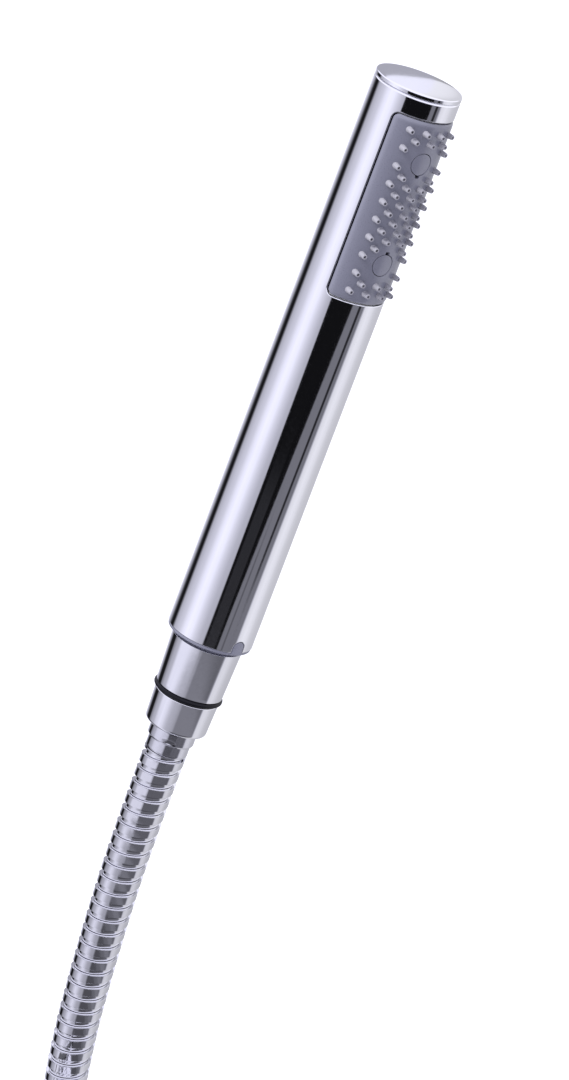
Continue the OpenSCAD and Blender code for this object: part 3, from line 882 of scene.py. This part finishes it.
def hose_route():
    lead = [(x, 0, z) for x, z in LEAD_ROUTE]
    steps = math.ceil(COIL_TURNS * COIL_STEPS)
    coil = []
    for k in range(steps + 1):
        share = k / steps
        a = math.radians(COIL_START - share * COIL_TURNS * 360)
        coil.append((COIL_X + COIL_R * math.cos(a), -COIL_W * share, COIL_Z + COIL_R * math.sin(a)))
    tail = [(TAIL_X, TAIL_Y, COIL_Z - step) for step in TAIL_STEPS]
    return np.array(lead + coil + tail)


def smooth_curve(points, steps=10):
    """Points on a smooth curve through the given ones."""
    padded = np.vstack([2 * points[0] - points[1], points, 2 * points[-1] - points[-2]])
    result = []
    for i in range(1, len(padded) - 2):
        p0, p1, p2, p3 = padded[i - 1:i + 3]
        for k in range(steps):
            t = k / steps
            result.append(0.5 * (2 * p1 + (p2 - p0) * t + (2 * p0 - 5 * p1 + 4 * p2 - p3) * t * t
                                 + (3 * p1 - p0 - 3 * p2 + p3) * t ** 3))
    result.append(points[-1])
    return np.array(result)


# One turn of the hose's strip: (share of the pitch, radius)
HOSE_PROFILE = [
    (0.0, 5.4), (0.004, 6.82), (0.012, 6.93), (0.028, 6.95), (0.042, 6.9), (0.054, 6.83), (0.08, 6.81),
    (0.58, 6.84), (0.61, 6.79), (0.626, 6.6), (0.634, 6.02), (0.66, 5.93), (0.80, 5.9), (0.965, 5.92),
    (0.97, 5.4),
]


def hose_part(line, sides=40):
    """The strip's profile, wound along the line: each point goes on one pitch further a turn later."""
    steps = np.linalg.norm(np.diff(line, axis=0), axis=1)
    along = np.concatenate([[0], np.cumsum(steps)])
    length = along[-1]
    tangents = np.gradient(line, along, axis=0)
    tangents /= np.linalg.norm(tangents, axis=1)[:, None]
    first = np.zeros_like(line)
    first[0] = (1, 0, 0)
    for i in range(1, len(line)):
        v = first[i - 1] - tangents[i] * first[i - 1].dot(tangents[i])
        first[i] = v / np.linalg.norm(v)
    second = np.cross(tangents, first)
    turns = int(math.ceil(length / HOSE_PITCH)) + 1
    shares = np.array([p[0] for p in HOSE_PROFILE])
    radii = np.array([p[1] for p in HOSE_PROFILE])
    base = (np.arange(-1, turns)[:, None] + shares[None, :]).ravel() * HOSE_PITCH
    ridge = np.tile(radii, turns + 1)
    angle = WHOLE * np.arange(sides) / sides
    s = base[:, None] + HOSE_PITCH * angle[None, :] / WHOLE
    r = np.repeat(ridge[:, None], sides, 1)
    s = np.clip(s, 0, length)
    centre = np.stack([np.interp(s, along, line[:, k]) for k in range(3)], -1)
    one = np.stack([np.interp(s, along, first[:, k]) for k in range(3)], -1)
    two = np.stack([np.interp(s, along, second[:, k]) for k in range(3)], -1)
    across, up = np.cos(angle)[None, :, None], np.sin(angle)[None, :, None]
    points = centre + r[..., None] * (one * across + two * up)
    per_turn = len(HOSE_PROFILE)
    rows = len(base)
    faces = []
    for i in range(rows - 1):
        for k in range(sides):
            here, above = i * sides + k, (i + 1) * sides + k
            if k + 1 < sides:
                quad = (here, here + 1, above + 1, above)
            elif i + per_turn + 1 < rows:
                quad = (here, (i + per_turn) * sides, (i + per_turn + 1) * sides, above)
            else:
                continue
            span = s.ravel()[list(quad)]
            if span.max() - span.min() > 1e-6:
                faces.append(quad)
    return [tuple(p) for p in points.reshape(-1, 3)], faces


def tie_part(angle):
    """A strap round all the turns, with rounded edges."""
    thick, half_w, corner, edge = 1.2, 5, 3, 0.4
    out = thick / 2
    half_r, half_y = HOSE_R + 0.3 + out, (COIL_W + 2 * HOSE_R + 0.2) / 2 + out
    outline = joined(rounded_outline(half_r, half_y, corner, 8, 12))
    count = len(outline)
    section = round_off([
        (-out, -half_w, edge), (out, -half_w, edge), (out, half_w, edge), (-out, half_w, edge)
    ], closed=True, steps=3)
    rows = []
    for across, up in section:
        row = []
        for i, (x, y) in enumerate(outline):
            ahead, behind = Vector(outline[(i + 1) % count]), Vector(outline[i - 1])
            d = (ahead - behind).normalized()
            row.append((x + d.y * across, y - d.x * across, up))
        rows.append(row)
    rows.append(rows[0])
    middle = Matrix.Translation((COIL_X, -COIL_W / 2, COIL_Z))
    turn = Matrix.Rotation(-math.radians(angle), 4, "Y")
    return moved(rows_to_faces(rows), middle @ turn @ Matrix.Translation((COIL_R, 0, 0)))


HEX_HALF, HEX_LOW, HEX_HIGH = 12.0, 8.8, 17
HEX_CORNER_R = HEX_HALF / math.cos(math.pi / 6) - 0.15
HEX_SLOPE = 1.7


def hexagon(a, r, z):
    """The wall nut's radius: six flats, whose corners are turned off above and below."""
    if r < HEX_HALF - 0.01:
        return r
    sector = a % (math.pi / 3) - math.pi / 6
    flat = HEX_HALF / math.cos(sector)
    from_end = max(min(z - HEX_LOW, HEX_HIGH - z), 0)
    return min(flat, HEX_HALF + 0.1 + from_end * HEX_SLOPE, HEX_CORNER_R)


def hex_part():
    """The wall nut: hexagon with turned-off corners and a plain collar, mouth down."""
    spigot_r, seat_r, collar_r, mouth_r = 6.15, 11.0, 11.4, 9.3
    floor, top = 14.6, 24
    levels = [HEX_LOW, 8.9, 9.1, 9.4, 9.8, 10.4, 15.4, 16.0, 16.4, 16.7, 16.9, HEX_HIGH]
    profile = [(spigot_r, HEX_LOW), (seat_r, HEX_LOW)] + [(HEX_HALF + 0.1, z) for z in levels]
    profile += round_off([
        (collar_r, HEX_HIGH, 0), (collar_r, top, 0.5), (mouth_r, top, 0.3), (mouth_r, floor, 0),
        (spigot_r, floor, 0), (spigot_r, HEX_LOW, 0),
    ])
    return lathe(profile, 144, hexagon)


def make_hose(piece, route):
    """The hose with what rides on it, and the nut that turns on its far end."""
    at_start = Matrix.Translation((0, 0, EXIT_Z))
    at_end = Matrix.Translation((TAIL_X, TAIL_Y, TAIL_Z)) @ Matrix.Rotation(math.pi, 4, "X")
    solids = ["hose_lead", "hose_coil", "hose_tail"]
    ferrules = [moved(ferrule_part(), place) for place in (at_start, at_end)]
    hose = piece("metal_hose", hose_part(route), "hose", "hose_metal", solids)
    near = piece("crimp_ferrule", ferrules[0], "hose", "ferrule_chrome", ["near_ferrule"])
    far = piece("end_ferrule", ferrules[1], "hose", "ferrule_chrome", ["far_ferrule"])
    ties = piece("coil_ties", merge([tie_part(110), tie_part(250)]), "hose", "tie_plastic", ["hose_ties"])
    end_nut = piece("end_nut", moved(hex_part(), at_end), "wall_nut", "chrome", ["wall_nut"])
    return hose, near, far, ties, end_nut


def make_handset(piece):
    piece("chrome_tube", tube_part(), "handset", "chrome", ["body_tube"], radial=[TUBE_R])
    piece("chrome_cap", cap_part(), "handset", "chrome", ["end_cap"])
    piece("face_plate", plate_part(), "handset", "spray_plate_grey", ["spray_plate"], radial=[PLATE_R])
    piece("nozzles", nozzles_part(), "handset", "soft_nozzle", ["nozzle_mat"])
    piece("cover_discs", cover_discs_part(), "handset", "spray_plate_grey", ["screw_covers"],
          radial=[COVER_SKIN_R])
    piece("grey_ring", base_ring_part(), "handset", "ring_grey", ["base_ring"], radial=[KEY_SKIN_R])
    piece("neck", neck_part(), "handset", "chrome", ["inlet_connector"])
    piece("grip_ring", grip_ring_part(), "handset", "black_rubber", ["friction_ring"])
    piece("swivel_nut", nut_part(), "handset", "chrome", ["cone_nut"])


def dress_cad_nodes(materials):
    """Gives the CAD nodes that stay, which are all inside, the finish of their own slot."""
    slots = {row["node"]: row["material_slot"] for row in frame["record"]["subparts"]}
    for name, node in frame["nodes"].items():
        node.data.materials.clear()
        node.data.materials.append(materials.get(slots[name], materials["ferrule_chrome"]))


def main():
    make_camera()
    make_world()
    make_floor()
    make_key_light()
    bpy.context.scene.view_settings.view_transform = "Standard"
    materials = make_materials()

    def piece(name, part, body, slot, replaces=(), **more):
        return make_piece(name, part, body, slot, materials[slot], replaces, **more)

    route = smooth_curve(hose_route())
    hose, near, far, ties, end_nut = make_hose(piece, route)
    make_handset(piece)
    dress_cad_nodes(materials)


main()
